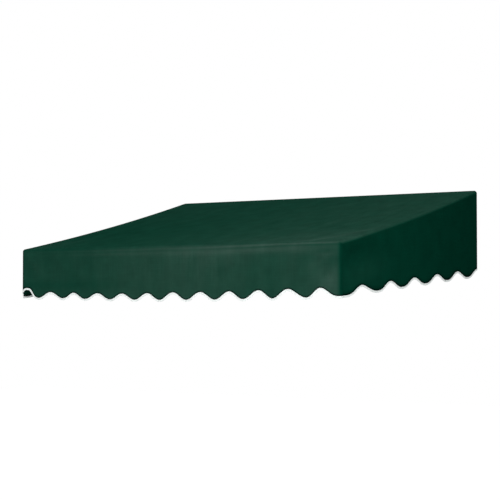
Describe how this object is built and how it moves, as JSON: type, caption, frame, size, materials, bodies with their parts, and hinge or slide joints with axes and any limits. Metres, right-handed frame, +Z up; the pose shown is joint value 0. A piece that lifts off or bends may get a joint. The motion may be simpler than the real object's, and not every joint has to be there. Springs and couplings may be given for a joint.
{
  "type": "door canopy",
  "caption": "Fabric door canopy on a wall-hung tube frame: sloping roof, closed sides and a deep front with a scalloped, white-bound lower edge.",
  "frame": {"origin": "on the wall plane, in the middle of the width, at the height of the header rail's axis: the back face of the middle wall bracket", "axes": "+X along the width, to the right as seen from the street; +Y into the wall; +Z up"},
  "size_m": [1.8318, 1.3709, 0.5599],
  "materials": {
    "awning_cloth": "matt woven awning cloth",
    "binding_tape": "matt woven white tape",
    "galvanised_tube": "galvanised",
    "cast_aluminium": "as cast, blasted",
    "zinc_plate": "bright zinc plated",
    "black_webbing": "woven hook-and-loop",
    "bright_screw": "stainless"
  },
  "bodies": {
    "root": {"binding_front": "binding_tape", "binding_left": "binding_tape", "binding_right": "binding_tape", "cover_roof_front": "awning_cloth", "cover_side_left": "awning_cloth", "cover_side_right": "awning_cloth", "fitting_front_low_centre": "cast_aluminium", "fitting_front_low_left": "cast_aluminium", "fitting_front_low_right": "cast_aluminium", "fitting_front_top_centre": "cast_aluminium", "fitting_front_top_left": "cast_aluminium", "fitting_front_top_right": "cast_aluminium", "fitting_header_centre": "cast_aluminium", "fitting_header_left": "cast_aluminium", "fitting_header_right": "cast_aluminium", "fitting_rear_low_left": "cast_aluminium", "fitting_rear_low_right": "cast_aluminium", "front_bar_left": "galvanised_tube", "front_bar_right": "galvanised_tube", "front_post_centre": "galvanised_tube", "front_post_left": "galvanised_tube", "front_post_right": "galvanised_tube", "header_rail_left": "galvanised_tube", "header_rail_right": "galvanised_tube", "keeper_strap_front_1": "black_webbing", "keeper_strap_front_2": "black_webbing", "keeper_strap_front_3": "black_webbing", "keeper_strap_front_4": "black_webbing", "keeper_strap_left_1": "black_webbing", "keeper_strap_left_2": "black_webbing", "keeper_strap_right_1": "black_webbing", "keeper_strap_right_2": "black_webbing", "lower_front_bar_left": "galvanised_tube", "lower_front_bar_right": "galvanised_tube", "lower_side_bar_left": "galvanised_tube", "lower_side_bar_right": "galvanised_tube", "post_clip_left": "zinc_plate", "post_clip_right": "zinc_plate", "rafter_centre": "galvanised_tube", "rafter_left": "galvanised_tube", "rafter_right": "galvanised_tube", "rear_post_left": "galvanised_tube", "rear_post_right": "galvanised_tube", "screw_lower_front_left": "bright_screw", "screw_lower_front_right": "bright_screw", "screw_lower_rear_left": "bright_screw", "screw_lower_rear_right": "bright_screw", "screw_rafter_front_centre": "bright_screw", "screw_rafter_front_left": "bright_screw", "screw_rafter_front_right": "bright_screw", "screw_rafter_rear_centre": "bright_screw", "screw_rafter_rear_left": "bright_screw", "screw_rafter_rear_right": "bright_screw", "wall_bracket_centre": "zinc_plate", "wall_bracket_left": "zinc_plate", "wall_bracket_right": "zinc_plate"}
  },
  "joints": []
}
